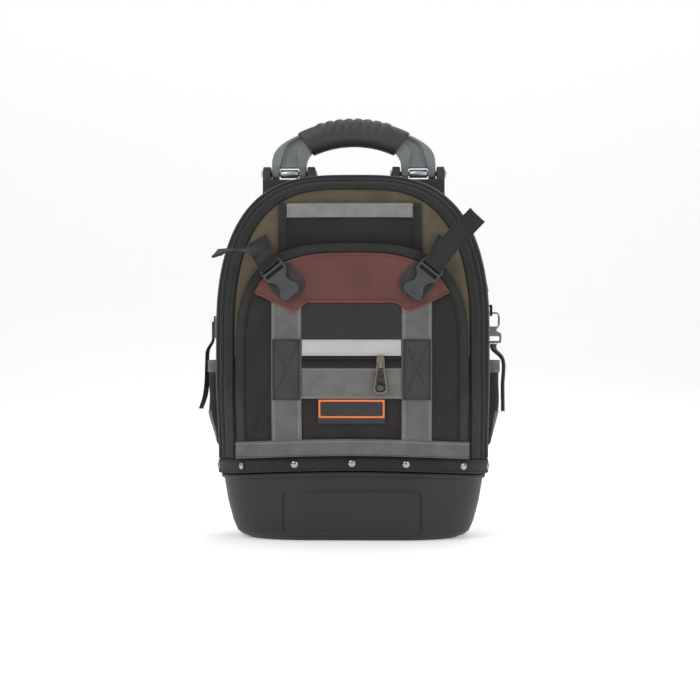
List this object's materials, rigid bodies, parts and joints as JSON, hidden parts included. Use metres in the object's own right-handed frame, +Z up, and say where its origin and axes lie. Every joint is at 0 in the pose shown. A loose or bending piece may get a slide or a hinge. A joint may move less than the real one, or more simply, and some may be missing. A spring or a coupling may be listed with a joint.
{
  "type": "tool backpack",
  "caption": "Upright tool backpack: moulded base tub, arched fabric body, buckled slip pocket, folding carry handle, side pockets, padded back and shoulder straps.",
  "frame": {"origin": "middle of the base's flat underside, where the bag stands", "axes": "+Z up, -Y the front with the slip pocket, +X to the right seen from the front"},
  "size_m": [0.4031, 0.3215, 0.545],
  "materials": {
    "moulded_base": "fine moulded grain, satin",
    "black_canvas": "coarse woven ballistic cloth",
    "khaki_canvas": "woven cloth over a stiff panel",
    "black_webbing": "ribbed woven webbing",
    "grey_webbing": "ribbed woven webbing",
    "silver_tape": "reflective tape",
    "brown_leather": "grained, waxed",
    "back_mesh": "padded air mesh",
    "moulded_rubber": "matt moulded",
    "buckle_plastic": "moulded, satin",
    "handle_plastic": "moulded, slightly metallic grey",
    "orange_edging": "moulded label with an orange edge",
    "steel": "turned",
    "satin_nickel": "satin plated"
  },
  "bodies": {
    "bag": {"base_tub": "moulded_base", "rim_strip": "black_webbing", "body_shell": "black_canvas", "front_zip_band": "black_canvas", "rear_zip_band": "black_canvas", "door_panel": "khaki_canvas", "back_panel": "black_canvas", "pocket_shell": "black_canvas", "pocket_binding": "black_webbing", "leather_panel": "brown_leather", "webbing_left": "grey_webbing", "cross_patch_left": "moulded_rubber", "webbing_right": "grey_webbing", "cross_patch_right": "moulded_rubber", "webbing_bottom": "grey_webbing", "name_patch": "moulded_rubber", "reflective_strip": "silver_tape", "zip_chain": "black_webbing", "ribbed_panel": "grey_webbing", "label": "orange_edging", "sleeve_panel": "black_canvas", "sleeve_band": "silver_tape", "buckle_receiver_left": "buckle_plastic", "buckle_clip_left": "buckle_plastic", "anchor_strap_left": "black_webbing", "loose_strap_left": "black_webbing", "buckle_receiver_right": "buckle_plastic", "buckle_clip_right": "buckle_plastic", "anchor_strap_right": "black_webbing", "loose_strap_right": "black_webbing", "pin_left": "steel", "bracket_left": "moulded_base", "pin_right": "steel", "bracket_right": "moulded_base", "pocket_zip_slider": "satin_nickel", "side_zip_left_slider": "satin_nickel", "side_zip_right_slider": "satin_nickel", "side_pocket_left": "black_canvas", "side_band_left": "grey_webbing", "side_pocket_right": "black_canvas", "side_band_right": "grey_webbing", "tape_clip": "satin_nickel", "hanging_strap_left": "black_webbing", "ring_tab": "black_webbing", "side_ring": "satin_nickel", "snap_hook": "satin_nickel", "hanging_strap_right": "black_webbing", "back_pad": "back_mesh", "shoulder_strap_left": "back_mesh", "ladder_lock_left": "buckle_plastic", "lower_strap_left": "black_webbing", "shoulder_strap_right": "back_mesh", "ladder_lock_right": "buckle_plastic", "lower_strap_right": "black_webbing"},
    "handle": {"handle_frame": "handle_plastic", "handle_grip": "moulded_rubber"},
    "pocket_puller": {"pocket_zip_puller": "satin_nickel"},
    "left_puller": {"side_zip_left_puller": "satin_nickel"},
    "right_puller": {"side_zip_right_puller": "satin_nickel"}
  },
  "joints": [
    {"name": "handle_fold", "type": "hinge", "parent": "bag", "child": "handle", "pos_m": [0, 0, 0.472], "axis": [1, 0, 0], "range_deg": [-70, 70]},
    {"name": "pocket_puller_swing", "type": "hinge", "parent": "bag", "child": "pocket_puller", "pos_m": [0.036, -0.12853, 0.2264], "axis": [-1, 0, 0], "range_deg": [0, 150]},
    {"name": "left_puller_swing", "type": "hinge", "parent": "bag", "child": "left_puller", "pos_m": [-0.16877, 0.048, 0.35713], "axis": [0, 1, 0], "range_deg": [0, 150]},
    {"name": "right_puller_swing", "type": "hinge", "parent": "bag", "child": "right_puller", "pos_m": [0.16877, 0.048, 0.35713], "axis": [0, -1, 0], "range_deg": [0, 150]}
  ]
}
